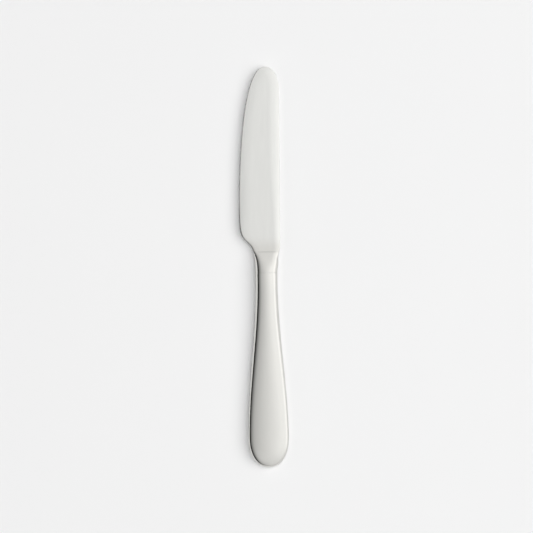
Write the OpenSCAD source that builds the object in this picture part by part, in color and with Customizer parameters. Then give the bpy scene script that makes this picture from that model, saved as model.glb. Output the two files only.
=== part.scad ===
// Hollow-handled butter knife, lying flat on a table.
// +Y runs from the butt of the handle to the tip, +X is the spine side, +Z is up.
// Distances along the knife are measured from the butt end.
// All sizes are in millimetres.

/* [Handle] */
// Length of the two half shells, from the butt to the neck joint
shell_len = 84.8; // [76:0.1:110]
// Greatest width of the handle
handle_w = 17.7; // [14:0.1:24]
// Thickness of the handle where it is widest
handle_t = 6.8; // [5.5:0.1:9]
// Distance of the widest place from the butt end
widest_from_butt = 13; // [8:0.1:18]
// Squareness of the outline at the butt, where 2 is an ellipse
butt_square = 2.2; // [2:0.1:3]
// Length over which the thickness rounds off at the butt
butt_round_len = 9.5; // [4:0.1:18]
// Reach of the wide part of the outline towards the neck
swell_reach = 22.3; // [8:0.1:28]
// Reach of the narrow part of the outline towards the butt
neck_reach = 23.8; // [8:0.1:28]
// Length of the parallel neck on the shells
neck_land = 3.8; // [2:0.1:10]
// Width of the neck
neck_w = 9.6; // [9:0.1:14]
// Thickness of the neck
neck_t = 7.2; // [6:0.1:9]
// Wall of the pressed half shells
shell_wall = 0.8; // [0.5:0.05:1.2]

/* [Bolster] */
// Length of the bolster, from the neck joint to the shoulder line
bolster_len = 9.4; // [8:0.05:14]
// How much farther than the neck the bolster reaches on the spine side
bolster_swell = 0.5; // [0:0.1:1]
// Height of the small step at the shoulder line
shoulder_rise = 0.3; // [0.1:0.05:0.6]
// Length of the small step at the shoulder line
shoulder_run = 0.3; // [0.15:0.05:0.6]
// How much steeper the bolster rises at the shoulder than over its whole length
ramp_power = 1.8; // [1.2:0.1:2.5]

/* [Blade] */
// Length of the blade, from the shoulder line to the tip
blade_len = 80.65; // [66:0.05:110]
// Reach of the cutting edge from the handle's middle line
edge_reach = 11.5; // [9:0.1:18]
// Reach of the spine from the handle's middle line, by the shoulder
spine_reach = 6.2; // [5:0.1:8]
// How much farther the spine reaches by the tip
spine_lean = 0.4; // [0:0.1:1]
// Length over which the bolster widens to the spine, half of it on each side of the shoulder line
spine_turn_len = 5; // [2:0.1:10]
// Distance of the heel from the shoulder line
heel_from_shoulder = 14.6; // [13:0.1:20]
// How long the edge runs straight before it turns in at the heel
heel_hold = 16.2; // [4:0.1:17]
// How long the neck runs straight before it turns out to the heel
throat_hold = 19.9; // [6:0.1:20]
// Offset of the tip's highest point towards the spine
apex_offset = 0.6; // [-2:0.1:3]
// Length of the round between the tip and the spine
tip_corner_len = 9.5; // [2:0.1:14]
// Flatness of the tip on the edge side
tip_hold = 11.2; // [4:0.1:14]
// How long the edge runs straight before it curves to the tip
belly_hold = 15.2; // [10:0.1:46]
// Thickness of the flat at the spine by the shoulder, before the side is rounded
spine_t = 2.5; // [1.6:0.1:3]
// Thickness of the flat at the edge by the shoulder, before the side is rounded
edge_t = 1.35; // [0.8:0.05:1.6]
// Thickness of the flat at the tip
tip_t = 1.15; // [0.8:0.05:1.4]

/* [Tang and joints] */
// Length of the tang inside the handle
tang_len = 46; // [25:1:55]
// Width of the tang at the bolster
tang_w = 5; // [3.5:0.1:5.4]
// Width of the tang at its end
tang_end_w = 3.2; // [2:0.1:3.5]
// Thickness of the tang
tang_t = 2.4; // [1.6:0.1:2.6]
// Thickness of the braze metal in the joints
braze_t = 0.16; // [0.08:0.02:0.3]
// Gap left round the filler where it shrinks as it sets
core_gap = 0.05; // [0.02:0.01:0.1]

/* [Hidden] */
// Places along the knife
neck_from_butt = shell_len - neck_land;
bolster_from_butt = shell_len + braze_t;
shoulder_from_butt = bolster_from_butt + bolster_len;
heel_from_butt = shoulder_from_butt + heel_from_shoulder;
overall_len = shoulder_from_butt + blade_len;
tip_corner_from_butt = overall_len - tip_corner_len;

// The knife's middle line in the frame
axis_x = (edge_reach - handle_w / 2) / 2;
axis_z = max(neck_t, handle_t) / 2;
half_braze = braze_t / 2;

// Slopes of the ground flank across and along the blade
blade_span = edge_reach + spine_reach;
slope_across = (spine_t - edge_t) / 2 / blade_span;
shoulder_mid_h = spine_t / 2 - slope_across * spine_reach;
apex_root_h = shoulder_mid_h + slope_across * apex_offset;
slope_along = (apex_root_h - tip_t / 2) / blade_len;
flank_roll = -atan(slope_across);
flank_pitch = -atan(slope_along * cos(flank_roll));

// Half thickness of the forged oval bar that the flats are ground on
bar_half_t = shoulder_mid_h + shoulder_rise;

// Size of what is ground away
cut_h = neck_t;
cut_w = 2 * blade_span;
cut_len = 2 * blade_len;
step_run_out = cut_h * shoulder_run / shoulder_rise;

// Colours of the pieces
blade_colour = [0.72, 0.72, 0.7];
shell_colour = [0.7, 0.7, 0.7];
braze_colour = [0.8, 0.78, 0.7];
filler_colour = [0.5, 0.48, 0.44];

// Fineness of the curves
arc_steps = 16;
swell_steps = 22;
butt_steps = 10;
cap_steps = 5;
bolster_steps = 8;
heel_steps = 14;
belly_steps = 24;
tip_steps = 14;
halvings = 26;
// How near the last ring comes to a rounded end
end_trim = 0.05;
// How near the last ring of an inner surface comes to its rounded end
inner_trim = 0.2;
// Where the hollow of the shells ends at the butt
hollow_from_butt = shell_wall + inner_trim;
// Half width of the hollow where it ends
hollow_end_w = handle_half_w(hollow_from_butt, shell_wall);
// How far the tang's root reaches into the bolster
tang_root = 3;

// Value of a cubic curve with four control values at the share t
function cubic(p, t) =
    p[0] * (1 - t) ^ 3
    + 3 * p[1] * (1 - t) ^ 2 * t
    + 3 * p[2] * (1 - t) * t ^ 2
    + p[3] * t ^ 3;

// Share at which a rising cubic reaches x, found by halving the span
function cubic_share(p, x, low = 0, high = 1, left = halvings) =
    let (mid = (low + high) / 2)
    left == 0 ? mid
    : cubic(p, mid) < x ? cubic_share(p, x, mid, high, left - 1)
    : cubic_share(p, x, low, mid, left - 1);

// Distance across at the distance x along a curve
function curve_at(along, across, x) = cubic(across, cubic_share(along, x));

// Height of a quarter round at the share s of its length, from full to nothing
// It is a quarter ellipse when square is 2, and blunter above that
function quarter(s, square = 2) = max(0, 1 - s ^ square) ^ (1 / square);

// Share that starts and ends level
function ease(s) =
    let (t = min(1, max(0, s)))
    t ^ 2 * (3 - 2 * t);

// Half width of the handle at u, set in from the outer surface
function handle_half_w(u, inset) =
    u >= neck_from_butt ? neck_w / 2 - inset
    : u >= widest_from_butt ? swell_at(u) - inset
    : (handle_w / 2 - inset)
        * quarter((widest_from_butt - u) / (widest_from_butt - inset), butt_square);

// Half width of the handle between the widest place and the neck
function swell_at(u) =
    curve_at(
        [
            widest_from_butt,
            widest_from_butt + swell_reach,
            neck_from_butt - neck_reach,
            neck_from_butt
        ],
        [handle_w / 2, handle_w / 2, neck_w / 2, neck_w / 2],
        u
    );

// Half thickness of the handle at u, set in from the outer surface
function handle_half_t(u, inset) =
    let (share = ease((u - widest_from_butt) / (neck_from_butt - widest_from_butt)))
    let (half = (handle_t + (neck_t - handle_t) * share) / 2 - inset)
    u >= butt_round_len ? half
    : half * quarter((butt_round_len - u) / (butt_round_len - inset));

// Reach of the blade and bolster on the edge side at u
function edge_at(u) =
    u <= bolster_from_butt ? neck_w / 2
    : u <= heel_from_butt ? curve_at(
        [
            bolster_from_butt,
            bolster_from_butt + throat_hold,
            heel_from_butt - heel_hold,
            heel_from_butt
        ],
        [neck_w / 2, neck_w / 2, edge_reach, edge_reach],
        u
    )
    : curve_at(
        [heel_from_butt, heel_from_butt + belly_hold, overall_len, overall_len],
        [edge_reach, edge_reach, tip_hold - apex_offset, -apex_offset],
        u
    );

// Reach of the straight spine at u
function spine_line(u) =
    spine_reach
    + spine_lean * (u - shoulder_from_butt) / (tip_corner_from_butt - shoulder_from_butt);

// Reach of the blade and bolster on the spine side at u
function spine_at(u) =
    let (bolster = neck_w / 2 + bolster_swell * ease((u - bolster_from_butt) / spine_turn_len))
    let (out = ease((u - shoulder_from_butt) / spine_turn_len + 1 / 2))
    u <= tip_corner_from_butt ? bolster + (spine_line(u) - bolster) * out
    : apex_offset
        + (spine_line(tip_corner_from_butt) - apex_offset)
        * quarter((u - tip_corner_from_butt) / tip_corner_len);

// Half thickness of the forging at u, before its flats are ground
function forging_half_t(u) =
    let (fall = min(1, max(0, (u - bolster_from_butt) / bolster_len)))
    bar_half_t + (neck_t / 2 - bar_half_t) * (1 - fall ^ ramp_power);

// Evenly spaced values from a to b, without b
function spread(a, b, steps) = [for (i = [0 : steps - 1]) a + (b - a) * i / steps];

// Values from a to b that crowd together at b, without b
function crowd(a, b, steps) = [for (i = [0 : steps - 1]) a + (b - a) * sin(90 * i / steps)];

// List in the opposite order
function backwards(list) = [for (i = [len(list) - 1 : -1 : 0]) list[i]];

// Places of the rings from the neck joint down to the butt
function handle_stations() =
    concat(
        spread(shell_len, widest_from_butt, swell_steps),
        crowd(widest_from_butt, hollow_from_butt, butt_steps),
        crowd(hollow_from_butt, end_trim, cap_steps),
        [end_trim]
    );

// The same places as far as the end of an inner surface
function inner_stations(inset) =
    let (last = inset + (inset > 0 ? inner_trim : end_trim))
    concat([for (u = handle_stations()) if (u > last) u], [last]);

// Places of the rings from the tip down to the bolster's rear face
function forging_stations() =
    backwards(concat(
        spread(bolster_from_butt, shoulder_from_butt, bolster_steps),
        spread(shoulder_from_butt, heel_from_butt, heel_steps),
        spread(heel_from_butt, tip_corner_from_butt, belly_steps),
        crowd(tip_corner_from_butt, overall_len - end_trim, tip_steps),
        [overall_len - end_trim]
    ));

// Half of an oval in the plane at u, from the spine side over the top to the edge side
function half_oval(u, mid, half_w, low, high) =
    [
        for (i = [0 : arc_steps])
            let (a = 180 * i / arc_steps)
            [mid + half_w * cos(a), u, low + (high - low) * sin(a)]
    ];

// Level line in the plane at u, with as many points as half an oval
function half_line(u, half_w, level) =
    [for (i = [0 : arc_steps]) [half_w * (1 - 2 * i / arc_steps), u, level]];

// Full oval in the plane at u
function oval(u, mid, half_w, half_t) =
    [
        for (i = [0 : 2 * arc_steps - 1])
            let (a = 180 * i / arc_steps)
            [mid + half_w * cos(a), u, half_t * sin(a)]
    ];

// Ring of a half shell at u: outer arc, then the inner arc back
function shell_ring(u) =
    let (outer_w = handle_half_w(u, 0))
    let (outer_t = handle_half_t(u, 0))
    let (inner = u >= hollow_from_butt
        ? half_oval(u, 0, handle_half_w(u, shell_wall), half_braze, handle_half_t(u, shell_wall))
        : half_line(u, min(outer_w / 2, hollow_end_w), half_braze))
    concat(half_oval(u, 0, outer_w, half_braze, outer_t), backwards(inner));

// Ring of the forging at u
function forging_ring(u) =
    let (left = edge_at(u))
    let (right = spine_at(u))
    oval(u, (right - left) / 2, (right + left) / 2, forging_half_t(u));

// Triangles between each ring and the next
function ring_sides(count, rings) =
    [
        for (i = [0 : rings - 2], j = [0 : count - 1])
            let (k = (j + 1) % count)
            let (here = i * count)
            let (next = here + count)
            each [[here + j, next + k, here + k], [here + j, next + j, next + k]]
    ];

// Closed skin over rings that are full ovals
module skin_ovals(rings) {
    count = len(rings[0]);
    last = (len(rings) - 1) * count;
    first_cap = [for (j = [0 : count - 1]) j];
    last_cap = [for (j = [count - 1 : -1 : 0]) last + j];
    polyhedron(
        points = [for (ring = rings) each ring],
        faces = concat(ring_sides(count, len(rings)), [first_cap, last_cap])
    );
}

// Triangles that close a half shell's end between its outer and inner arcs
// Each pair is split from the side away from the rim, where three points can lie in line
function arc_cap(start, count) =
    [
        for (j = [0 : arc_steps - 1])
            let (outer = start + j)
            let (inner = start + count - 1 - j)
            each 2 * j < arc_steps
                ? [[outer, outer + 1, inner], [outer + 1, inner - 1, inner]]
                : [[outer, outer + 1, inner - 1], [outer, inner - 1, inner]]
    ];

// Closed skin over rings that are half shells
module skin_arcs(rings) {
    count = len(rings[0]);
    last = (len(rings) - 1) * count;
    last_cap = [for (face = arc_cap(last, count)) [face[2], face[1], face[0]]];
    polyhedron(
        points = [for (ring = rings) each ring],
        faces = concat(ring_sides(count, len(rings)), arc_cap(0, count), last_cap)
    );
}

// Stands a part that is drawn round the knife's middle line in its place in the frame
module placed() {
    translate([axis_x, -overall_len / 2, axis_z])
        children();
}

// Side view of what is ground away above the blade's flank and the step
module flank_cut_side() {
    polygon([
        [0, 0],
        [cut_len, 0],
        [cut_len, cut_h],
        [-step_run_out, cut_h]
    ]);
}

// What is ground away above the blade
module flank_cut() {
    translate([0, shoulder_from_butt, shoulder_mid_h])
        rotate([flank_pitch, flank_roll, 0])
            rotate([90, 0, 90])
                linear_extrude(height = cut_w, center = true)
                    flank_cut_side();
}

// Outline of the tang, grown by the gap
module tang_outline(gap) {
    tail = bolster_from_butt - tang_len - gap;
    polygon([
        [-tang_w / 2 - gap, bolster_from_butt + tang_root],
        [-tang_end_w / 2 - gap, tail],
        [tang_end_w / 2 + gap, tail],
        [tang_w / 2 + gap, bolster_from_butt + tang_root]
    ]);
}

// Tang, grown by the gap
module tang(gap) {
    linear_extrude(height = tang_t + 2 * gap, center = true)
        tang_outline(gap);
}

// Forging of blade, bolster and tang
module blade() {
    color(blade_colour)
        placed() {
            difference() {
                skin_ovals([for (u = forging_stations()) forging_ring(u)]);
                flank_cut();
                mirror([0, 0, 1])
                    flank_cut();
            }
            tang(0);
        }
}

// One half shell, the upper one
module half_shell() {
    skin_arcs([for (u = handle_stations()) shell_ring(u)]);
}

// Upper half shell of the handle
module handle_shell_front() {
    color(shell_colour)
        placed()
            half_shell();
}

// Lower half shell of the handle
module handle_shell_back() {
    color(shell_colour)
        placed()
            mirror([0, 0, 1])
                half_shell();
}

// Outline of the handle seen from above, set in from the outer surface
module handle_outline(inset) {
    stations = inner_stations(inset);
    polygon(concat(
        [for (u = stations) [handle_half_w(u, inset), u]],
        [for (u = backwards(stations)) [-handle_half_w(u, inset), u]]
    ));
}

// Braze metal between the rims of the two shells
module seam_braze() {
    color(braze_colour)
        placed()
            linear_extrude(height = braze_t, center = true)
                difference() {
                    handle_outline(0);
                    handle_outline(shell_wall);
                }
}

// Cross-section of the neck, set in from the outer surface
module neck_section(inset) {
    scale([neck_w / 2 - inset, neck_t / 2 - inset])
        circle(r = 1, $fn = 2 * arc_steps);
}

// Braze metal between the bolster and the shells
module neck_braze() {
    color(braze_colour)
        placed()
            translate([0, bolster_from_butt, 0])
                rotate([90, 0, 0])
                    linear_extrude(height = braze_t)
                        difference() {
                            neck_section(0);
                            neck_section(shell_wall);
                        }
}

// Filler cast into the handle round the tang
module handle_core() {
    inset = shell_wall + core_gap;
    color(filler_colour)
        placed()
            difference() {
                skin_ovals([
                    for (u = inner_stations(inset))
                        oval(u, 0, handle_half_w(u, inset), handle_half_t(u, inset))
                ]);
                tang(core_gap);
            }
}

blade();
handle_shell_front();
handle_shell_back();
seam_braze();
neck_braze();
handle_core();
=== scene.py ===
"""Butter knife with a hollow steel handle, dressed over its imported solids.

Sizes are in millimetres until a skin becomes a mesh. Across runs from the
cutting edge (negative) to the spine (positive), along runs from the butt to
the tip, and height is measured from the knife's middle plane. The studio's own
sizes are in metres.
"""

from __future__ import annotations

import logging
import math
from collections.abc import Mapping, Sequence
from dataclasses import dataclass, replace
from enum import Enum

import bmesh
import bpy
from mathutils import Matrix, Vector

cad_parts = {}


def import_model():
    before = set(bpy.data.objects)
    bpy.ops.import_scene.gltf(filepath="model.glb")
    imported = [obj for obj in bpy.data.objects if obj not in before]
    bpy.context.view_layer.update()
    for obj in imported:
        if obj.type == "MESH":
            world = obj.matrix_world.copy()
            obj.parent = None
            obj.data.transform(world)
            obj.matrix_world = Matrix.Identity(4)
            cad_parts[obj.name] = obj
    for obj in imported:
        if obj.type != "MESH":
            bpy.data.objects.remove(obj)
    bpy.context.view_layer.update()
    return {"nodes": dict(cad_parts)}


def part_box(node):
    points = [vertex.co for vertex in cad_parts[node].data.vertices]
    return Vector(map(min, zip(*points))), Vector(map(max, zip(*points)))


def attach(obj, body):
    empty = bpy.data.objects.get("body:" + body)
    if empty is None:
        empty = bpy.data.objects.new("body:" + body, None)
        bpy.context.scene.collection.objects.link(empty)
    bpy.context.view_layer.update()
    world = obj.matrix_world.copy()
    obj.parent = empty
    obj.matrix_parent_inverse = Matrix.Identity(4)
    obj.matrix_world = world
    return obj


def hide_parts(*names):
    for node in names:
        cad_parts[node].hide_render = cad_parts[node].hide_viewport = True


LOG = logging.getLogger("butter_knife")
MM = 0.001
ACROSS = "across"
CURVE_HALVINGS = 44
MIX_SHARE, MIX_FIRST, MIX_SECOND, MIX_COLOUR = 0, 6, 7, 2
SHELL_WALL = 0.8
RIM_BEVEL = 0.015
BRAZE_SINK = 0.008

Pair = tuple[float, float]
Point = tuple[float, float, float]
Colour = tuple[float, float, float]


class ShellSide(Enum):
    """The half of the handle that a pressed shell makes."""

    FRONT = 1.0
    BACK = -1.0


class SkinEnd(Enum):
    """How a row of points closes on itself."""

    OPEN = 0
    LOOP = 1

    def neighbours(self, count: int) -> list[tuple[int, int]]:
        """Find the neighbours in a row.

        Args:
            count: How many points the row has.

        Returns:
            Each place in the row with the next one.
        """
        spans = count if self is SkinEnd.LOOP else count - 1
        return [(at, (at + 1) % count) for at in range(spans)]


def cubic(controls: Sequence[float], share: float) -> float:
    """Point of a four-point Bezier curve.

    Args:
        controls: The curve's four values.
        share: Place on the curve, from 0 to 1.

    Returns:
        The curve's value there.
    """
    rest = 1.0 - share
    return (
        controls[0] * rest**3
        + 3.0 * controls[1] * rest**2 * share
        + 3.0 * controls[2] * rest * share**2
        + controls[3] * share**3
    )


def curve_at(along: Sequence[float], across: Sequence[float], place: float) -> float:
    """Height of a plane Bezier curve over a place along it.

    Args:
        along: The four control values along the knife.
        across: The four control values across the knife.
        place: Where along the knife the curve is read.

    Returns:
        The curve's value across the knife.
    """
    low, high = 0.0, 1.0
    for _ in range(CURVE_HALVINGS):
        middle = (low + high) / 2.0
        if cubic(along, middle) < place:
            low = middle
        else:
            high = middle
    return cubic(across, (low + high) / 2.0)


def sweep(start: Pair, end: Pair, holds: Pair, place: float) -> float:
    """Width of an S-curve that leaves and arrives level.

    Args:
        start: Place along the knife and width where the curve starts.
        end: Place and width where it ends.
        holds: How long it holds to the first width and to the last.
        place: Where along the knife the curve is read.

    Returns:
        The width there.
    """
    (first, from_w), (last, to_w) = start, end
    along = (first, first + holds[0], last - holds[1], last)
    return curve_at(along, (from_w, from_w, to_w, to_w), place)


def clamp(share: float) -> float:
    """Hold a share between 0 and 1."""
    return min(1.0, max(0.0, share))


def ease(share: float) -> float:
    """Smooth step from 0 to 1."""
    held = clamp(share)
    return held * held * (3.0 - 2.0 * held)


def quarter(share: float, square: float = 2.0) -> float:
    """Height of a unit quarter round, a circle when square is 2, over a place on its radius."""
    return max(0.0, 1.0 - share**square) ** (1.0 / square)


def mix(first: float, second: float, share: float) -> float:
    """Value a share of the way from the first number to the second."""
    return first + (second - first) * share


def even_places(first: float, last: float, count: int) -> list[float]:
    """Evenly spaced places from the first up to the last, without it."""
    return [mix(first, last, at / count) for at in range(count)]


def closing_places(first: float, last: float, count: int) -> list[float]:
    """Places from the first up to the last, without it, that draw together as on a round end."""
    turns = (math.sin(math.radians(90.0 * at / count)) for at in range(count))
    return [mix(first, last, turn) for turn in turns]


@dataclass(frozen=True)
class KnifeForm:
    """Outline, sections and place of the whole knife."""

    butt_y: float
    axis_x: float
    middle_z: float
    shell_len: float
    handle_half_w: float
    neck_half_w: float
    neck_half_t: float
    bolster_from_butt: float
    tip_from_butt: float
    tang_end_from_butt: float
    edge_reach: float
    spine_reach: float
    braze_t: float
    handle_half_t: float = 3.4
    widest_from_butt: float = 12.95
    butt_square: float = 2.2
    butt_round_len: float = 9.45
    swell_reach: float = 22.3
    neck_reach: float = 23.8
    neck_land: float = 3.8
    bolster_len: float = 9.4
    bolster_swell: float = 0.5
    spine_lean: float = 0.4
    spine_turn_len: float = 5.0
    heel_from_shoulder: float = 14.6
    throat_hold: float = 19.9
    heel_hold: float = 16.2
    belly_hold: float = 15.2
    tip_hold: float = 11.2
    apex_offset: float = 0.6
    tip_corner_len: float = 9.45

    @classmethod
    def from_frame(cls) -> KnifeForm:
        """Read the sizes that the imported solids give.

        Returns:
            The knife's form, in millimetres.
        """
        shell_low, shell_high = (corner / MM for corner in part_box("handle_shell_front"))
        neck_low, neck_high = (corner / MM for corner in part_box("neck_braze"))
        seam_low, seam_high = (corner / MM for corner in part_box("seam_braze"))
        blade_low, blade_high = (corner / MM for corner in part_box("blade"))
        axis_x = (shell_low.x + shell_high.x) / 2.0
        return cls(
            butt_y=shell_low.y,
            axis_x=axis_x,
            middle_z=(neck_low.z + neck_high.z) / 2.0,
            shell_len=shell_high.y - shell_low.y,
            handle_half_w=(shell_high.x - shell_low.x) / 2.0,
            neck_half_w=(neck_high.x - neck_low.x) / 2.0,
            neck_half_t=(neck_high.z - neck_low.z) / 2.0,
            bolster_from_butt=neck_high.y - shell_low.y,
            tip_from_butt=blade_high.y - shell_low.y,
            tang_end_from_butt=blade_low.y - shell_low.y,
            edge_reach=axis_x - blade_low.x,
            spine_reach=blade_high.x - axis_x,
            braze_t=seam_high.z - seam_low.z,
        )

    @property
    def shoulder_from_butt(self) -> float:
        """Where the blade flat ends at the bolster."""
        return self.bolster_from_butt + self.bolster_len

    @property
    def heel_from_butt(self) -> float:
        """Where the blade reaches its full width."""
        return self.shoulder_from_butt + self.heel_from_shoulder

    @property
    def neck_from_butt(self) -> float:
        """Where the handle's swell has run out into the even neck."""
        return self.shell_len - self.neck_land

    def place(self, point: Point) -> Vector:
        """Put a point of the knife into the shared frame.

        Args:
            point: Across, along and height, in millimetres.

        Returns:
            The point in metres.
        """
        across, along, height = point
        return Vector((self.axis_x + across, self.butt_y + along, self.middle_z + height)) * MM

    def handle_half_width(self, along: float, inset: float = 0.0) -> float:
        """Half the handle's width.

        Args:
            along: Distance from the butt.
            inset: How far inside the outer face the line lies.

        Returns:
            The half width, in millimetres.
        """
        if along >= self.neck_from_butt:
            return self.neck_half_w - inset
        if along >= self.widest_from_butt:
            widest = (self.widest_from_butt, self.handle_half_w)
            neck = (self.neck_from_butt, self.neck_half_w)
            return sweep(widest, neck, (self.swell_reach, self.neck_reach), along) - inset
        run = (self.widest_from_butt - along) / (self.widest_from_butt - inset)
        return (self.handle_half_w - inset) * quarter(min(1.0, run), self.butt_square)

    def handle_half_thick(self, along: float, inset: float = 0.0) -> float:
        """Half the handle's thickness at its crown.

        Args:
            along: Distance from the butt.
            inset: How far inside the outer face the line lies.

        Returns:
            The half thickness, in millimetres.
        """
        run = (along - self.widest_from_butt) / (self.neck_from_butt - self.widest_from_butt)
        half = mix(self.handle_half_t, self.neck_half_t, ease(run)) - inset
        if along >= self.butt_round_len:
            return half
        return half * quarter((self.butt_round_len - along) / (self.butt_round_len - inset))

    def edge_at(self, along: float) -> float:
        """Reach of the cutting edge from the middle line.

        Args:
            along: Distance from the butt.

        Returns:
            The reach, in millimetres.
        """
        if along <= self.bolster_from_butt:
            return self.neck_half_w
        heel, tip = self.heel_from_butt, self.tip_from_butt
        if along <= heel:
            throat = (self.bolster_from_butt, self.neck_half_w)
            return sweep(throat, (heel, self.edge_reach), (self.throat_hold, self.heel_hold), along)
        turn = self.tip_hold - self.apex_offset
        across = (self.edge_reach, self.edge_reach, turn, -self.apex_offset)
        return curve_at((heel, heel + self.belly_hold, tip, tip), across, along)

    def spine_at(self, along: float) -> float:
        """Reach of the spine from the middle line.

        Args:
            along: Distance from the butt.

        Returns:
            The reach, in millimetres.
        """
        corner = self.tip_from_butt - self.tip_corner_len
        if along <= corner:
            past = along - self.shoulder_from_butt
            straight = self.spine_lean * past / (corner - self.shoulder_from_butt)
            line = self.spine_reach - self.spine_lean + straight
            swell = ease((along - self.bolster_from_butt) / self.spine_turn_len)
            bolster = self.neck_half_w + self.bolster_swell * swell
            return mix(bolster, line, ease(0.5 + past / self.spine_turn_len))
        run = (along - corner) / self.tip_corner_len
        return self.apex_offset + (self.spine_reach - self.apex_offset) * quarter(run)


class Skin:
    """Surface that grows row by row before it becomes a mesh."""

    def __init__(self, form: KnifeForm) -> None:
        """Start an empty surface.

        Args:
            form: The knife's form, which gives the surface its place.
        """
        self.form = form
        self.points: list[Point] = []
        self.faces: list[tuple[int, ...]] = []

    def row(self, points: Sequence[Point]) -> list[int]:
        """Add a row of points.

        Args:
            points: The row's points, in millimetres.

        Returns:
            The points' numbers in the surface.
        """
        start = len(self.points)
        self.points.extend(points)
        return list(range(start, len(self.points)))

    def bridge(self, rows: Sequence[Sequence[int]], end: SkinEnd) -> None:
        """Span rows of the same length with four-sided faces, each row and the next.

        Args:
            rows: Point numbers of the rows.
            end: Whether each row closes on itself.
        """
        for first, second in zip(rows, rows[1:]):
            for at, after in end.neighbours(len(first)):
                self.faces.append((first[at], first[after], second[after], second[at]))

    def fan(self, ring: Sequence[int], pole: int, end: SkinEnd) -> None:
        """Span a row and one point with triangles.

        Args:
            ring: Point numbers of the row.
            pole: Number of the point that they meet at.
            end: Whether the row closes on itself.
        """
        for at, after in end.neighbours(len(ring)):
            self.faces.append((ring[at], ring[after], pole))

    def to_object(self, name: str, sharp_angle: float = 32.0) -> bpy.types.Object:
        """Make the mesh object, shaded smooth with crisp corners.

        Args:
            name: The object's name.
            sharp_angle: Corner angle, in degrees, above which an edge stays crisp.

        Returns:
            The new object, linked to the scene.
        """
        mesh = bpy.data.meshes.new(name)
        mesh.from_pydata([self.form.place(point) for point in self.points], [], self.faces)
        work = bmesh.new()
        work.from_mesh(mesh)
        bmesh.ops.recalc_face_normals(work, faces=work.faces)
        for face in work.faces:
            face.smooth = True
        work.to_mesh(mesh)
        work.free()
        mesh.set_sharp_from_angle(angle=math.radians(sharp_angle))
        piece = bpy.data.objects.new(name, mesh)
        bpy.context.scene.collection.objects.link(piece)
        return piece


class Field:
    """One shader value that takes part in Python arithmetic."""

    def __init__(self, graph: NodeGraph, socket: bpy.types.NodeSocket) -> None:
        """Hold the socket that carries the value."""
        self.graph = graph
        self.socket = socket

    def _math(self, operation: str, first: Field | float, second: Field | float) -> Field:
        """Add one Math node.

        Args:
            operation: The node's operation.
            first: Its first value.
            second: Its second value.

        Returns:
            The node's result.
        """
        return self.graph.add("ShaderNodeMath", {"operation": operation}, {0: first, 1: second})

    def __add__(self, other: Field | float) -> Field:
        """Sum of two values."""
        return self._math("ADD", self, other)

    def __radd__(self, other: float) -> Field:
        """Sum with a number in front."""
        return self._math("ADD", other, self)

    def __sub__(self, other: Field | float) -> Field:
        """Difference of two values."""
        return self._math("SUBTRACT", self, other)

    def __rsub__(self, other: float) -> Field:
        """Difference with a number in front."""
        return self._math("SUBTRACT", other, self)

    def __mul__(self, other: Field | float) -> Field:
        """Product of two values."""
        return self._math("MULTIPLY", self, other)

    def __rmul__(self, other: float) -> Field:
        """Product with a number in front."""
        return self._math("MULTIPLY", other, self)

    def centred(self) -> Field:
        """Noise from 0 to 1 set about zero."""
        return self - 0.5


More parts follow.
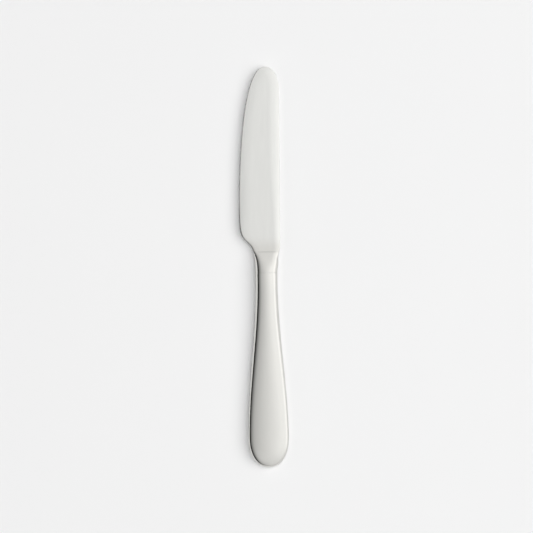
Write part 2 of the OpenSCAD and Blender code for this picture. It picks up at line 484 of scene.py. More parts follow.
class NodeGraph:
    """Node tree of one material or of the world."""

    def __init__(self, tree: bpy.types.NodeTree) -> None:
        """Take over a tree and empty it."""
        self.tree = tree
        self.tree.nodes.clear()

    def add(
        self,
        kind: str,
        settings: Mapping[str, object],
        sockets: Mapping[int | str, object],
        out: int | str = 0,
    ) -> Field:
        """Add a node of any type.

        Args:
            kind: The node's type.
            settings: Its settings, which are set first.
            sockets: The values or links of its inputs.
            out: The output that is handed back.

        Returns:
            The chosen output as a value.
        """
        node = self.tree.nodes.new(kind)
        for name, value in settings.items():
            setattr(node, name, value)
        for key, value in sockets.items():
            if isinstance(value, Field):
                self.tree.links.new(value.socket, node.inputs[key])
            else:
                node.inputs[key].default_value = value
        if not node.outputs:
            return Field(self, node.inputs[0])
        return Field(self, node.outputs[out])

    def place(self) -> Field:
        """Place on the object, in metres in the shared frame."""
        return self.add("ShaderNodeTexCoord", {}, {}, "Object")

    def axis(self, vector: Field, name: str) -> Field:
        """One part, X, Y or Z, of a vector."""
        return self.add("ShaderNodeSeparateXYZ", {}, {0: vector}, name)

    def stretch(self, vector: Field, grain: Point, turn: float = 0.0) -> Field:
        """Scale a place so that one unit is one grain.

        Args:
            vector: The place to scale.
            grain: Length of a grain on each axis, in millimetres.
            turn: Turn of the grain about the upright axis, in degrees.

        Returns:
            The scaled place.
        """
        turned = vector
        if turn:
            turned = self.add(
                "ShaderNodeVectorRotate",
                {"rotation_type": "Z_AXIS"},
                {"Vector": vector, "Angle": math.radians(turn)},
            )
        scale = tuple(1.0 / (length * MM) for length in grain)
        return self.add("ShaderNodeVectorMath", {"operation": "MULTIPLY"}, {0: turned, 1: scale})

    def noise(self, vector: Field, detail: float) -> Field:
        """Soft noise, from 0 to 1, over a scaled place."""
        return self.add(
            "ShaderNodeTexNoise", {}, {"Vector": vector, "Scale": 1.0, "Detail": detail}
        )

    def step(self, value: Field, low: float, high: float) -> Field:
        """Smooth step of a value between two limits.

        Args:
            value: The value to read.
            low: Where the step starts from 0.
            high: Where it reaches 1.

        Returns:
            The stepped value.
        """
        return self.add(
            "ShaderNodeMapRange",
            {"interpolation_type": "SMOOTHSTEP"},
            {"Value": value, "From Min": low, "From Max": high},
        )

    def ray(self, name: str) -> Field:
        """One of the light path's values."""
        return self.add("ShaderNodeLightPath", {}, {}, name)

    def seen_directly(self) -> Field:
        """Tell rays that look at a surface from those that light it.

        Returns:
            One for the camera's own rays and those by way of metal or glass, else zero.
        """
        names = ("Is Camera Ray", "Is Glossy Ray", "Is Transmission Ray")
        camera, glossy, through = (self.ray(name) for name in names)
        return self.step(camera + glossy + through, 0.0, 1.0)

    def blend(self, share: Field, first: Field | Colour, second: Field | Colour) -> Field:
        """Colour a share of the way from the first to the second.

        Args:
            share: How much of the second colour shows.
            first: The colour at share 0.
            second: The colour at share 1.

        Returns:
            The blended colour.
        """
        pair = [c if isinstance(c, Field) else (*c, 1.0) for c in (first, second)]
        sockets = {MIX_SHARE: share, MIX_FIRST: pair[0], MIX_SECOND: pair[1]}
        return self.add("ShaderNodeMix", {"data_type": "RGBA"}, sockets, MIX_COLOUR)

    def show(self, shader: Field) -> None:
        """Send a shader to the material's output."""
        self.add("ShaderNodeOutputMaterial", {}, {"Surface": shader})


@dataclass(frozen=True)
class Grain:
    """Size, fineness and turn of one noise pattern on a surface."""

    size: Point
    detail: float
    turn: float = 0.0

    def lay(self, graph: NodeGraph) -> Field:
        """Lay the pattern over the object, from 0 to 1."""
        return graph.noise(graph.stretch(graph.place(), self.size, self.turn), self.detail)


@dataclass(frozen=True)
class Bump:
    """How strongly and how deep, in millimetres, a surface is roughened."""

    strength: float
    depth: float

    def normal(self, graph: NodeGraph, height: Field) -> Field:
        """Turn a relief into the surface's normal.

        Args:
            graph: The material's nodes.
            height: The relief, where 1 stands for the full depth.

        Returns:
            The roughened normal.
        """
        sockets = {"Strength": self.strength, "Distance": self.depth * MM, "Height": height}
        return graph.add("ShaderNodeBump", {}, sockets)


STEEL_BUMP = Bump(strength=0.6, depth=0.0012)


class Finish:
    """What the finishes of the pieces have in common."""

    def paint(self, graph: NodeGraph) -> None:
        """Lay the finish, which each kind does in its own way."""
        raise NotImplementedError

    def material(self, name: str) -> bpy.types.Material:
        """Make the finish into a material.

        Args:
            name: The material's name.

        Returns:
            The new material.
        """
        made = bpy.data.materials.new(name)
        made.use_nodes = True
        self.paint(NodeGraph(made.node_tree))
        return made


def shaded(tint: Colour, share: float) -> Colour:
    """Colour made darker or lighter by a share."""
    red, green, blue = tint
    return (red * share, green * share, blue * share)


@dataclass(frozen=True)
class SteelLook:
    """What a steel finish gives to the shader."""

    colour: Field
    roughness: Field
    relief: Field

    def finish(self, graph: NodeGraph, glance: float = 0.8) -> None:
        """Feed the look to its shader.

        Args:
            graph: The material's nodes.
            glance: Share of the shine that is left at a glancing angle.
        """
        shader = graph.add(
            "ShaderNodeBsdfPrincipled",
            {},
            {
                "Base Color": self.colour,
                "Metallic": 1.0,
                "Roughness": self.roughness,
                "Specular Tint": (glance, glance, glance, 1.0),
                "Normal": STEEL_BUMP.normal(graph, self.relief),
            },
        )
        graph.show(shader)

    def toward(self, graph: NodeGraph, other: SteelLook, share: Field) -> SteelLook:
        """Let the look run over into another one.

        Args:
            graph: The material's nodes.
            other: The look at share 1.
            share: How much of the other look shows.

        Returns:
            The blended look.
        """
        return SteelLook(
            graph.blend(share, self.colour, other.colour),
            self.roughness + share * (other.roughness - self.roughness),
            self.relief + share * (other.relief - self.relief),
        )


@dataclass(frozen=True)
class SteelFinish:
    """Polished stainless steel with its working marks."""

    tint: Colour
    roughness: float
    lines: Grain
    line_swing: float
    line_tone: float
    haze_swing: float
    tone_swing: float = 0.3
    tone_spread: float = 0.06
    scuff_rough: float = 0.05
    scuff_tone: float = 0.35
    scuff_depth: float = 0.6
    haze: Grain = Grain((7.0, 16.0, 7.0), detail=3.0)
    mottle_share: float = 0.5
    mottle: Grain = Grain((1.6, 2.4, 1.6), detail=2.0)
    wipes: Grain = Grain((0.09, 5.0, 0.4), detail=1.0, turn=24.0)
    wipe_limits: Pair = (0.66, 0.76)
    cross_wipes: Grain = Grain((0.08, 4.0, 0.4), detail=1.0, turn=-37.0)
    cross_limits: Pair = (0.67, 0.77)

    def look(self, graph: NodeGraph) -> SteelLook:
        """Lay polishing lines, wipe marks and handling haze over the steel.

        Args:
            graph: The material's nodes.

        Returns:
            Colour, roughness and relief of the finish.
        """
        lines = self.lines.lay(graph)
        streaks = lines.centred()
        haze = self.haze.lay(graph).centred()
        mottle = self.mottle.lay(graph).centred()
        wiped = graph.step(self.wipes.lay(graph), *self.wipe_limits)
        cross_wiped = graph.step(self.cross_wipes.lay(graph), *self.cross_limits)
        scuffs = wiped + cross_wiped
        rough = (
            self.roughness
            + self.line_swing * streaks
            + self.haze_swing * haze
            + self.scuff_rough * scuffs
        )
        clouds = self.tone_swing * (haze + self.mottle_share * mottle)
        light = 0.5 + clouds + self.line_tone * streaks + self.scuff_tone * scuffs
        low, high = (shaded(self.tint, 1.0 + way * self.tone_spread) for way in (-1.0, 1.0))
        colour = graph.blend(light, low, high)
        return SteelLook(colour, rough, lines - self.scuff_depth * scuffs)


@dataclass(frozen=True)
class ForgingFinish(Finish):
    """Satin blade that turns into the polished bolster at the shoulder."""

    blade: SteelFinish
    bolster: SteelFinish
    shoulder_y: float
    border: float = 7.5
    edge_band: Pair = (0.72, 0.9)
    # edge_line to heel_reach lay a painted dark reflection along the cutting edge, deeper at the
    # heel.
    edge_line: Pair = (0.935, 0.975)
    edge_shade: float = 0.74
    heel_shade: float = 0.3
    heel_reach: Pair = (10.0, 23.0)
    strokes: Grain = Grain((2.2, 0.07, 2.2), detail=2.0, turn=8.0)
    stroke_rough: float = 0.04
    stroke_swing: float = 0.16
    glance: float = 0.75

    def paint(self, graph: NodeGraph) -> None:
        """Lay both finishes, let one run over into the other, and paint a dark reflection line
        along the cutting edge.

        Args:
            graph: The material's nodes.
        """
        low = self.shoulder_y * MM
        along = graph.axis(graph.place(), "Y")
        on_blade = graph.step(along, low, low + self.border * MM)
        look = self.bolster.look(graph).toward(graph, self.blade.look(graph), on_blade)
        across = graph.add("ShaderNodeAttribute", {"attribute_name": ACROSS}, {}, "Fac")
        to_edge = 0.0 - across
        strokes = self.strokes.lay(graph)
        ground = graph.step(to_edge, *self.edge_band) * on_blade
        scratched = self.stroke_rough + self.stroke_swing * strokes.centred()
        # Painted dark reflection: a darker line along the cutting edge stands in for the dark that
        # the edge mirrors.
        painted_reflection_line = graph.step(to_edge, *self.edge_line)
        near, far = (low + reach * MM for reach in self.heel_reach)
        heel = on_blade * (1.0 - graph.step(along, near, far))
        # Colours of the painted dark reflection: darker along the edge, darker still at the heel.
        edge = shaded(self.blade.tint, self.edge_shade)
        painted_heel_reflection = shaded(self.blade.tint, self.heel_shade)
        colour = graph.blend(painted_reflection_line, look.colour, graph.blend(heel, edge, painted_heel_reflection))
        rough = look.roughness + ground * scratched
        SteelLook(colour, rough, look.relief + ground * strokes).finish(graph, self.glance)


@dataclass(frozen=True)
class ShellFinish(Finish):
    """Polished handle that turns into the lighter-tinted neck at the joint."""

    handle: SteelFinish
    neck: SteelFinish
    joint_y: float
    border: float = 10.0

    def paint(self, graph: NodeGraph) -> None:
        """Lay both finishes and let one run over into the other.

        Args:
            graph: The material's nodes.
        """
        high = self.joint_y * MM
        on_neck = graph.step(graph.axis(graph.place(), "Y"), high - self.border * MM, high)
        self.handle.look(graph).toward(graph, self.neck.look(graph), on_neck).finish(graph)


@dataclass(frozen=True)
class BrazeFinish(Finish):
    """Silver braze metal that was ground flush and polished over."""

    tint: Colour = (0.704, 0.702, 0.672)
    stain: Colour = (0.6, 0.592, 0.552)
    roughness: float = 0.12
    pits: Grain = Grain((0.12, 0.2, 0.12), detail=3.0)
    pit_swing: float = 0.16
    flow: Grain = Grain((1.5, 3.0, 1.5), detail=2.0)
    stain_limits: Pair = (0.46, 0.72)
    stain_rough: float = 0.08

    def paint(self, graph: NodeGraph) -> None:
        """Lay pits and stains over the braze.

        Args:
            graph: The material's nodes.
        """
        pits = self.pits.lay(graph)
        stained = graph.step(self.flow.lay(graph), *self.stain_limits)
        colour = graph.blend(stained, self.tint, self.stain)
        rough = self.roughness + self.pit_swing * pits.centred() + self.stain_rough * stained
        SteelLook(colour, rough, pits).finish(graph)


@dataclass(frozen=True)
class FillerFinish(Finish):
    """Cast mineral filler, matte and gritty."""

    body: Colour = (0.36, 0.335, 0.29)
    grit: Colour = (0.56, 0.535, 0.48)
    roughness: float = 0.82
    grains: Grain = Grain((0.35, 0.35, 0.35), detail=4.0)
    speck_limits: Pair = (0.52, 0.66)
    speck_share: float = 0.7
    clouds: Grain = Grain((5.0, 8.0, 5.0), detail=2.0)
    cloud_share: float = 0.6
    cloud_rough: float = 0.2
    bump: Bump = Bump(strength=0.5, depth=0.06)

    def paint(self, graph: NodeGraph) -> None:
        """Lay grit and clouds over the filler.

        Args:
            graph: The material's nodes.
        """
        grains = self.grains.lay(graph)
        clouds = self.clouds.lay(graph).centred()
        speck = self.speck_share * graph.step(grains, *self.speck_limits)
        shader = graph.add(
            "ShaderNodeBsdfPrincipled",
            {},
            {
                "Base Color": graph.blend(speck + self.cloud_share * clouds, self.body, self.grit),
                "Roughness": self.roughness + self.cloud_rough * clouds,
                "Normal": self.bump.normal(graph, grains),
            },
        )
        graph.show(shader)


@dataclass(frozen=True)
class FloorFinish(Finish):
    """Pale matte sheet that the knife lies on."""

    tint: Colour = (0.9, 0.9, 0.9)
    roughness: float = 0.9
    shine: float = 0.1
    clouds: Grain = Grain((60.0, 60.0, 60.0), detail=2.0)
    cloud_shade: float = 0.992
    far_limits: Pair = (0.25, 0.8)

    def paint(self, graph: NodeGraph) -> None:
        """Lay the sheet, which is evenly pale where the lamps no longer reach.

        Args:
            graph: The material's nodes.
        """
        dim = shaded(self.tint, self.cloud_shade)
        lit = graph.add(
            "ShaderNodeBsdfPrincipled",
            {},
            {
                "Base Color": graph.blend(self.clouds.lay(graph), dim, self.tint),
                "Roughness": self.roughness,
                "Specular IOR Level": self.shine,
            },
        )
        length = {"operation": "LENGTH"}
        away = graph.add("ShaderNodeVectorMath", length, {0: graph.place()}, "Value")
        far = graph.step(away, *self.far_limits) * graph.seen_directly()
        pale = graph.add("ShaderNodeEmission", {}, {"Color": (*self.tint, 1.0), "Strength": 1.0})
        graph.show(graph.add("ShaderNodeMixShader", {}, {0: far, 1: lit, 2: pale}))

    def material(self, name: str) -> bpy.types.Material:
        """Make the finish into a material that lights nothing itself.

        Args:
            name: The material's name.

        Returns:
            The new material.
        """
        made = super().material(name)
        made.cycles.emission_sampling = "NONE"
        return made


HANDLE_POLISH = SteelFinish(
    tint=(0.697, 0.69, 0.661),
    roughness=0.07,
    lines=Grain((0.07, 9.0, 0.07), detail=2.0),
    line_swing=0.06,
    line_tone=0.5,
    haze_swing=0.03,
)
# The neck and bolster share the handle's polish, with a lighter tint.
NECK_POLISH = replace(HANDLE_POLISH, tint=(0.731, 0.721, 0.689))
BLADE_SATIN = SteelFinish(
    tint=(0.811, 0.812, 0.787),
    roughness=0.18,
    lines=Grain((0.1, 14.0, 0.1), detail=2.0),
    line_swing=0.12,
    line_tone=1.1,
    haze_swing=0.05,
)


@dataclass(frozen=True)
class SideRound:
    """How the blade's flank rounds down to one of its long sides."""

    reach: float
    depth: float
    power: float
    nose_len: float

    def toward(self, other: SideRound, share: float) -> SideRound:
        """Rounding a share of the way to another one.

        Args:
            other: The rounding at share 1.
            share: Place between the two.

        Returns:
            The rounding there.
        """
        return SideRound(
            mix(self.reach, other.reach, share),
            mix(self.depth, other.depth, share),
            mix(self.power, other.power, share),
            mix(self.nose_len, other.nose_len, share),
        )

    def rise(self, inward: float) -> float:
        """Share of the flank's rise that is reached at a distance from the side."""
        return 1.0 - (1.0 - clamp(inward / self.reach)) ** self.power

    def nose(self, inward: float) -> float:
        """Share of the side wall's height under its rounded corner."""
        return quarter(1.0 - clamp(inward / self.nose_len))


def settle(piece: bpy.types.Object, node: str, slot: str) -> None:
    """Put a dressed piece in the place of its solid and report it.

    Args:
        piece: The dressed piece.
        node: The solid that it stands for.
        slot: The record's material slot of its finish.
    """
    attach(piece, "root")
    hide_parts(node)
    faces = len(piece.data.polygons)
    LOG.info("%s stands for %s: %d faces, slot %s", piece.name, node, faces, slot)


@dataclass
class Forging:
    """Blade, bolster and tang, forged from one bar."""

    form: KnifeForm
    spine_half_t: float = 1.25
    edge_half_t: float = 0.675
    tip_half_t: float = 0.575
    root_twist: float = 1.15
    tip_twist: float = 0.45
    hinge: float = -2.5
    shoulder_rise: float = 0.27
    shoulder_run: float = 1.5
    ramp_power: float = 1.8
    tip_square: float = 4.0
    tip_taper: float = 0.6
    tip_taper_len: float = 8.7
    edge_side: SideRound = SideRound(reach=5.5, depth=0.45, power=2.5, nose_len=0.35)
    heel_side: SideRound = SideRound(reach=4.0, depth=0.16, power=2.5, nose_len=1.4)
    spine_side: SideRound = SideRound(reach=4.7, depth=0.59, power=2.0, nose_len=0.08)
    root_side: SideRound = SideRound(reach=2.9, depth=0.48, power=2.0, nose_len=0.08)
    root_reach: float = 42.0
    root_run: float = 32.0
    least_wall: float = 0.13
    tang_half_w: float = 2.5
    tang_end_half_w: float = 1.6
    tang_half_t: float = 1.2
    rim_bevel: float = RIM_BEVEL
    crisp_angle: float = 50.0
    around: int = 96
    fine_past: float = 1.8
    fine_rows: int = 88
    even_rows: int = 96
    tip_rows: int = 56

    def flank(self, across: float, along: float) -> float:
        """Half thickness of the blade's flat, before its sides are rounded.

        Args:
            across: Place across the knife.
            along: Distance from the butt.

        Returns:
            The half thickness, in millimetres.
        """
        form = self.form
        slope = (self.spine_half_t - self.edge_half_t) / (form.spine_reach + form.edge_reach)
        middle = self.edge_half_t + slope * form.edge_reach
        blade_len = form.tip_from_butt - form.shoulder_from_butt
        fall = (middle + slope * form.apex_offset - self.tip_half_t) / blade_len
        past = along - form.shoulder_from_butt
        twist = mix(self.root_twist, self.tip_twist, clamp(past / blade_len))
        return middle + slope * (self.hinge + twist * (across - self.hinge)) - fall * past

    def crown(self, across: float, along: float) -> float:
        """Half thickness of the forging before its sides are rounded.

        Args:
            across: Place across the knife.
            along: Distance from the butt.

        Returns:
            The half thickness, in millimetres.
        """
        form = self.form
        flat = self.flank(across, along)
        back = form.shoulder_from_butt - along
        step = self.shoulder_rise * ease(0.5 + back / self.shoulder_run)
        ramp = 1.0 - (1.0 - clamp(back / form.bolster_len)) ** self.ramp_power
        return flat + step + (form.neck_half_t - flat - self.shoulder_rise) * ramp

    def half_thick(self, share: float, along: float, edge: float, spine: float) -> float:
        """Half thickness over a place of one section.

        Args:
            share: Place across the section, -1 at the edge and 1 at the spine.
            along: Distance from the butt.
            edge: Reach of the cutting edge there.
            spine: Reach of the spine there.

        Returns:
            The half thickness, in millimetres.
        """
        form = self.form
        half_w = (edge + spine) / 2.0
        across = (spine - edge) / 2.0 + half_w * share
        past = along - form.shoulder_from_butt
        oval = ease(-past / form.bolster_len)
        root = ease((self.root_reach - past) / self.root_run)
        throat = ease((form.heel_from_butt - along) / form.heel_from_shoulder)
        edge_side = self.edge_side.toward(self.heel_side, throat)
        spine_side = self.spine_side.toward(self.root_side, root)
        to_edge, to_spine = half_w * (1.0 + share), half_w * (1.0 - share)
        to_tip = form.tip_from_butt - along
        tip_run = clamp(1.0 - to_tip / self.tip_taper_len)
        body = edge_side.rise(to_edge) * spine_side.rise(to_spine)
        body *= max(0.0, 1.0 - tip_run**self.tip_square) ** self.tip_taper
        depth = mix(edge_side.depth, spine_side.depth, (share + 1.0) / 2.0)
        wall = max(self.least_wall, self.flank(across, along) - depth)
        nose = edge_side.nose(to_edge) * spine_side.nose(to_spine) * self.edge_side.nose(to_tip)
        crown = self.crown(across, along)
        blade = wall * nose + (crown - wall) * body
        return mix(blade, crown * quarter(abs(share)), oval)

    def stations(self) -> list[float]:
        """Place the sections, closest at the shoulder and the tip.

        Returns:
            Distances from the butt, without the tip itself.
        """
        form = self.form
        rear = form.bolster_from_butt + self.rim_bevel
        fine_end = form.shoulder_from_butt + self.fine_past
        corner = form.tip_from_butt - self.tip_taper_len
        fine = even_places(rear, fine_end, self.fine_rows)
        even = even_places(fine_end, corner, self.even_rows)
        return fine + even + closing_places(corner, form.tip_from_butt, self.tip_rows)

    def section(self, along: float, scale: float = 1.0) -> list[Point]:
        """Points round one section.

        Args:
            along: Distance from the butt.
            scale: Size of the ring against the full section.

        Returns:
            The ring's points, from the spine over the top to the edge and back.
        """
        edge, spine = self.form.edge_at(along), self.form.spine_at(along)
        half_w, middle = (edge + spine) / 2.0, (spine - edge) / 2.0
        ring: list[Point] = []
        for at in range(2 * self.around):
            angle = math.pi * at / self.around
            share = math.cos(angle)
            height = self.half_thick(share, along, edge, spine)
            side = 1.0 if at <= self.around else -1.0
            ring.append((middle + half_w * share * scale, along, side * height * scale))
        return ring

    def tang_ring(self, along: float, half_w: float) -> list[Point]:
        """Points round the tang, in step with the forging's rings.

        Args:
            along: Distance from the butt.
            half_w: Half the tang's width there.

        Returns:
            The ring's points.
        """
        ring: list[Point] = []
        for at in range(2 * self.around):
            angle = math.pi * at / self.around
            flat, tall = math.cos(angle), math.sin(angle)
            reach = max(abs(flat) / half_w, abs(tall) / self.tang_half_t)
            ring.append((flat / reach, along, tall / reach))
        return ring

    def build(self) -> bpy.types.Object:
        """Make the forging's mesh.

        Returns:
            The blade object.
        """
        form = self.form
        skin = Skin(form)
        rear = form.bolster_from_butt
        shrink = 1.0 - self.rim_bevel / form.neck_half_t
        tang_end = skin.row(self.tang_ring(form.tang_end_from_butt, self.tang_end_half_w))
        tang_root = skin.row(self.tang_ring(rear, self.tang_half_w))
        rim = [(a, rear, h) for a, _, h in self.section(rear, shrink)]
        rows = [tang_end, tang_root, skin.row(rim)]
        rows += [skin.row(self.section(along)) for along in self.stations()]
        skin.bridge(rows, SkinEnd.LOOP)
        tip = skin.row([(form.apex_offset, form.tip_from_butt, 0.0)])[0]
        tail = skin.row([(0.0, form.tang_end_from_butt, 0.0)])[0]
        skin.fan(rows[-1], tip, SkinEnd.LOOP)
        skin.fan(tang_end, tail, SkinEnd.LOOP)
        piece = skin.to_object("knife_blade", self.crisp_angle)
        across = piece.data.attributes.new(ACROSS, "FLOAT", "POINT")
        shares = [math.cos(math.pi * at / self.around) for at in range(2 * self.around)]
        for cell, share in zip(across.data, shares * len(rows)):
            cell.value = share
        return piece

    def dress(self, piece: bpy.types.Object) -> None:
        """Give the forging its finish and its place in the frame.

        Args:
            piece: The blade object.
        """
        shoulder_y = self.form.butt_y + self.form.shoulder_from_butt
        finish = ForgingFinish(BLADE_SATIN, NECK_POLISH, shoulder_y)
        piece.data.materials.append(finish.material("blade_steel"))
        settle(piece, "blade", "blade_steel")


@dataclass
class HandleShell:
    """Pressed steel half of the hollow handle."""

    form: KnifeForm
    side: ShellSide
    wall: float = SHELL_WALL
    rim_bevel: float = RIM_BEVEL
    rim_segments: int = 2
    rim_angle: float = 60.0
    around: int = 72
    even_rows: int = 96
    butt_rows: int = 56

    @property
    def node(self) -> str:
        """Name of the solid that this shell stands for."""
        return f"handle_shell_{self.side.name.lower()}"

    def rows(self, inset: float) -> list[float]:
        """Places of the shell's sections from the neck to the butt.

        Args:
            inset: How far inside the outer face the rows lie.

        Returns:
            Distances from the butt, without the closing point.
        """
        start = self.form.widest_from_butt
        even = even_places(self.form.shell_len, start, self.even_rows)
        return even + closing_places(start, inset, self.butt_rows)

    def arc(self, along: float, inset: float) -> list[Point]:
        """Half oval of one section, from the spine side to the edge side.

        Args:
            along: Distance from the butt.
            inset: How far inside the outer face the arc lies.

        Returns:
            The arc's points.
        """
        form = self.form
        floor = form.braze_t / 2.0
        half_w = form.handle_half_width(along, inset)
        half_t = max(floor, form.handle_half_thick(along, inset))
        points: list[Point] = []
        for at in range(self.around + 1):
            angle = math.pi * at / self.around
            height = floor + (half_t - floor) * math.sin(angle)
            points.append((half_w * math.cos(angle), along, self.side.value * height))
        return points

    def build(self) -> bpy.types.Object:
        """Make the shell's mesh, outer and inner face with the rims between.

        Returns:
            The shell object.
        """
        skin = Skin(self.form)
        faces: list[list[list[int]]] = []
        poles: list[int] = []
        floor = self.side.value * self.form.braze_t / 2.0
        for inset in (0.0, self.wall):
            grid = [skin.row(self.arc(along, inset)) for along in self.rows(inset)]
            pole = skin.row([(0.0, inset, floor)])[0]
            skin.bridge(grid, SkinEnd.OPEN)
            skin.fan(grid[-1], pole, SkinEnd.OPEN)
            faces.append(grid)
            poles.append(pole)
        skin.bridge([grid[0] for grid in faces], SkinEnd.OPEN)
        rims: list[list[int]] = []
        for grid, pole in zip(faces, poles):
            rims.append([row[0] for row in grid] + [pole] + [row[-1] for row in reversed(grid)])
        skin.bridge(rims, SkinEnd.OPEN)
        return skin.to_object(self.node.replace("handle", "knife"))

    def dress(self, piece: bpy.types.Object) -> None:
        """Give the shell its finish, its softened rims and its place in the frame.

        Args:
            piece: The shell object.
        """
        joint_y = self.form.butt_y + self.form.shell_len
        finish = ShellFinish(HANDLE_POLISH, NECK_POLISH, joint_y)
        piece.data.materials.append(finish.material(f"{self.node}_steel"))
        bevel = piece.modifiers.new("rim", "BEVEL")
        bevel.width = self.rim_bevel * MM
        bevel.segments = self.rim_segments
        bevel.limit_method = "ANGLE"
        bevel.angle_limit = math.radians(self.rim_angle)
        settle(piece, self.node, "handle_steel")


@dataclass
class SeamBraze:
    """Braze metal in the seam between the two half shells."""

    form: KnifeForm
    shell: HandleShell
    sink: float = BRAZE_SINK

    def build(self) -> bpy.types.Object:
        """Make the flat loop that follows the handle's outline.

        Returns:
            The seam object.
        """
        form, half = self.form, self.form.braze_t / 2.0
        skin = Skin(form)
        lines: list[list[Pair]] = []
        for inset in (self.sink, self.shell.wall):
            side = [(form.handle_half_width(at, inset), at) for at in self.shell.rows(inset)]
            lines.append(side + [(0.0, inset)] + [(-half_w, at) for half_w, at in reversed(side)])
        rows: list[list[int]] = []
        for outer, inner in zip(*lines):
            corners = ((outer, half), (outer, -half), (inner, -half), (inner, half))
            rows.append(skin.row([(*plan, height) for plan, height in corners]))
        skin.bridge(rows, SkinEnd.LOOP)
        skin.faces += [tuple(rows[0]), tuple(rows[-1])]
        return skin.to_object("knife_seam_braze")

    def dress(self, piece: bpy.types.Object) -> None:
        """Give the seam its finish and its place in the frame."""
        piece.data.materials.append(BrazeFinish().material("seam_braze_metal"))
        settle(piece, "seam_braze", "braze")


@dataclass
class NeckBraze:
    """Braze metal between the bolster and the front ends of the shells."""

    form: KnifeForm
    wall: float = SHELL_WALL
    sink: float = BRAZE_SINK
    around: int = 144

    def build(self) -> bpy.types.Object:
        """Make the oval ring.

        Returns:
            The ring object.
        """
        form = self.form
        skin = Skin(form)
        front, back = form.bolster_from_butt, form.bolster_from_butt - form.braze_t
        corners = ((self.sink, front), (self.sink, back), (self.wall, back), (self.wall, front))
        rows: list[list[int]] = []
        for inset, along in corners:
            ring: list[Point] = []
            for at in range(self.around):
                angle = math.tau * at / self.around
                across = (form.neck_half_w - inset) * math.cos(angle)
                ring.append((across, along, (form.neck_half_t - inset) * math.sin(angle)))
            rows.append(skin.row(ring))
        skin.bridge(rows + rows[:1], SkinEnd.LOOP)
        return skin.to_object("knife_neck_braze")

    def dress(self, piece: bpy.types.Object) -> None:
        """Give the ring its finish and its place in the frame."""
        piece.data.materials.append(BrazeFinish().material("neck_braze_metal"))
        settle(piece, "neck_braze", "braze")


@dataclass
class FillerCore:
    """Cast filler inside the handle, whose solid is shown as it is."""

    node: bpy.types.Object

    def dress(self) -> None:
        """Give the filler its finish."""
        self.node.data.materials.clear()
        self.node.data.materials.append(FillerFinish().material("handle_filler"))
        LOG.info("handle_core keeps its solid, slot filler")


@dataclass(frozen=True)
class SoftBox:
    """Large soft lamp that lights the floor."""

    name: str
    lift: float
    away: float
    size: Pair
    share: float

    def build(self, level: float) -> None:
        """Hang the lamp so that it faces the knife.

        Args:
            level: Light on the floor from all lamps, where 1 shows a colour as written.
        """
        angle = math.radians(self.lift)
        lamp = bpy.data.lights.new(self.name, "AREA")
        lamp.shape = "RECTANGLE"
        lamp.size, lamp.size_y = self.size
        lamp.energy = level * self.share * math.pi**2 * self.away**2 / math.sin(angle)
        stand = bpy.data.objects.new(self.name, lamp)
        stand.location = (self.away * math.cos(angle), 0.0, self.away * math.sin(angle))
        stand.rotation_euler = (0.0, math.pi / 2.0 - angle, 0.0)
        stand.visible_glossy = False
        stand.visible_camera = False
        bpy.context.scene.collection.objects.link(stand)


@dataclass(frozen=True)
class SoftRoom:
    """Room that the steel mirrors, bright overhead and on the right, dim low on the left.

    Its limits are parts of a direction: right, ahead to the tip, and up.
    """

    zenith: float = 0.922
    tilt: float = 0.478
    knee: float = 0.256
    knee_limits: Pair = (0.45, 0.85)
    strip: float = 0.2
    strip_limits: Pair = (0.86, 0.99)
    end_fade: float = 0.42
    fade_even: float = 0.6
    fade_lean: float = 0.4
    corner_limits: Pair = (-0.35, 0.25)
    corner_clear: float = 0.8
    left_limits: Pair = (-0.55, 0.06)
    left_pull: float = 1.3
    left_lean: float = 0.13
    lift_limits: Pair = (0.1, 0.82)
    rim_limits: Pair = (-0.25, 0.5)
    rim_clear: float = 0.84
    rim_shift: float = 0.5
    horizon_limits: Pair = (0.1, 0.34)
    floor_bounce: float = 0.06

    def glow(self, graph: NodeGraph) -> Field:
        """Light that comes from each direction.

        Args:
            graph: The world's nodes.

        Returns:
            The light's level, where 1 is white.
        """
        way = graph.add("ShaderNodeTexCoord", {}, {}, "Generated")
        right, ahead, up = (graph.axis(way, name) for name in "XYZ")
        ends = ahead * ahead
        middle = 1.0 - ends
        to_butt = graph.step(0.0 - ahead, 0.0, 1.0)
        bright_corner = to_butt * graph.step(right, *self.corner_limits)
        end_share = ends * ends * (self.fade_even - self.fade_lean * ahead)
        fade = self.end_fade * end_share * (1.0 - self.corner_clear * bright_corner)
        knee = 1.0 - self.knee * graph.step(right, *self.knee_limits)
        strip = self.strip * graph.step(right, *self.strip_limits)
        slant = (self.tilt * right * knee + strip) * middle * middle
        sideways = right * (1.0 - (self.left_pull - to_butt) * ends) - self.left_lean * ahead
        left_side = 1.0 - graph.step(sideways, *self.left_limits)
        low_left = left_side * (1.0 - graph.step(up, *self.lift_limits))
        rim_side = graph.step(right + self.rim_shift * to_butt, *self.rim_limits)
        dark_rim = 1.0 - self.rim_clear * rim_side
        low_rim = dark_rim * (1.0 - graph.step(up, *self.horizon_limits))
        return (self.zenith * (1.0 - fade) + slant) * (1.0 - low_rim) * (1.0 - low_left)

    def build(self, backdrop: Colour) -> None:
        """Make the room the scene's world.

        Args:
            backdrop: Colour that the camera itself sees behind the floor.
        """
        world = bpy.data.worlds.new("soft_room")
        world.use_nodes = True
        world.cycles_visibility.diffuse = False
        bpy.context.scene.world = world
        graph = NodeGraph(world.node_tree)
        off_floor = graph.step(graph.ray("Diffuse Depth"), 0.0, 1.0)
        mirrored = self.glow(graph) * (1.0 - (1.0 - self.floor_bounce) * off_floor)
        shown = graph.blend(graph.ray("Is Camera Ray"), mirrored, backdrop)
        sky = graph.add("ShaderNodeBackground", {}, {"Color": shown, "Strength": 1.0})
        graph.add("ShaderNodeOutputWorld", {}, {"Surface": sky})


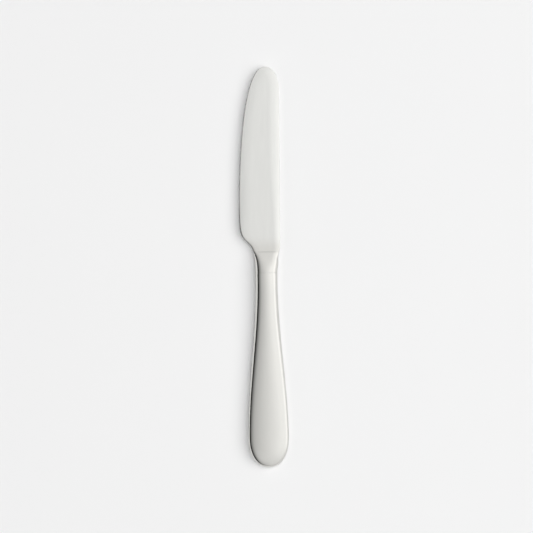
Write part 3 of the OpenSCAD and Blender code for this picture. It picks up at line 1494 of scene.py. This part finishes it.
@dataclass
class Studio:
    """Pale floor, soft light from the right and a camera overhead."""

    form: KnifeForm
    floor_half: float = 6.0
    floor_finish: FloorFinish = FloorFinish()
    lens: float = 120.0
    sensor: float = 36.0
    clip: Pair = (0.01, 50.0)
    frame_px: float = 533.0
    knife_px: float = 400.5
    lean: float = -0.8
    aim: Pair = (0.11, 87.65)
    room: SoftRoom = SoftRoom()
    floor_light: float = 1.177
    soft_boxes: tuple[SoftBox, ...] = (
        SoftBox("side_softbox", lift=55.0, away=4.0, size=(4.0, 4.0), share=0.57),
        SoftBox("overhead_softbox", lift=89.0, away=4.0, size=(0.7, 2.4), share=0.4),
        SoftBox("fill_softbox", lift=142.0, away=4.0, size=(2.4, 4.0), share=0.05),
    )

    def build_floor(self) -> None:
        """Lay the floor sheet at the frame's ground."""
        mesh = bpy.data.meshes.new("floor_sheet")
        reach = self.floor_half
        plan = ((-reach, -reach), (reach, -reach), (reach, reach), (-reach, reach))
        mesh.from_pydata([(x, y, 0.0) for x, y in plan], [], [(0, 1, 2, 3)])
        mesh.materials.append(self.floor_finish.material("floor_sheet"))
        floor = bpy.data.objects.new("floor_sheet", mesh)
        bpy.context.scene.collection.objects.link(floor)

    def build_camera(self) -> None:
        """Hang the camera over the knife, framed as the photograph is."""
        span = self.form.tip_from_butt / self.knife_px * self.frame_px
        camera = bpy.data.cameras.new("overhead")
        camera.lens = self.lens
        camera.sensor_width = self.sensor
        camera.clip_start, camera.clip_end = self.clip
        stand = bpy.data.objects.new("overhead", camera)
        across, along = self.aim
        stand.location = self.form.place((across, along, span * self.lens / self.sensor))
        stand.rotation_euler = (0.0, 0.0, math.radians(self.lean))
        bpy.context.scene.collection.objects.link(stand)
        bpy.context.scene.camera = stand

    def build_light(self) -> None:
        """Set the room that the steel mirrors and hang the floor's lamps."""
        self.room.build(self.floor_finish.tint)
        for box in self.soft_boxes:
            box.build(self.floor_light)

    def build(self) -> None:
        """Set up the floor, the camera and the light."""
        self.build_floor()
        self.build_camera()
        self.build_light()
        bpy.context.scene.view_settings.view_transform = "Standard"


def main() -> None:
    """Build and dress the knife and its studio."""
    logging.basicConfig(level=logging.INFO, format="%(name)s: %(message)s")
    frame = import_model()
    form = KnifeForm.from_frame()
    Studio(form).build()
    forging = Forging(form)
    forging.dress(forging.build())
    shells = [HandleShell(form, side) for side in ShellSide]
    for shell in shells:
        shell.dress(shell.build())
    seam = SeamBraze(form, shells[0])
    seam.dress(seam.build())
    ring = NeckBraze(form)
    ring.dress(ring.build())
    FillerCore(frame["nodes"]["handle_core"]).dress()


if __name__ == "__main__":
    main()
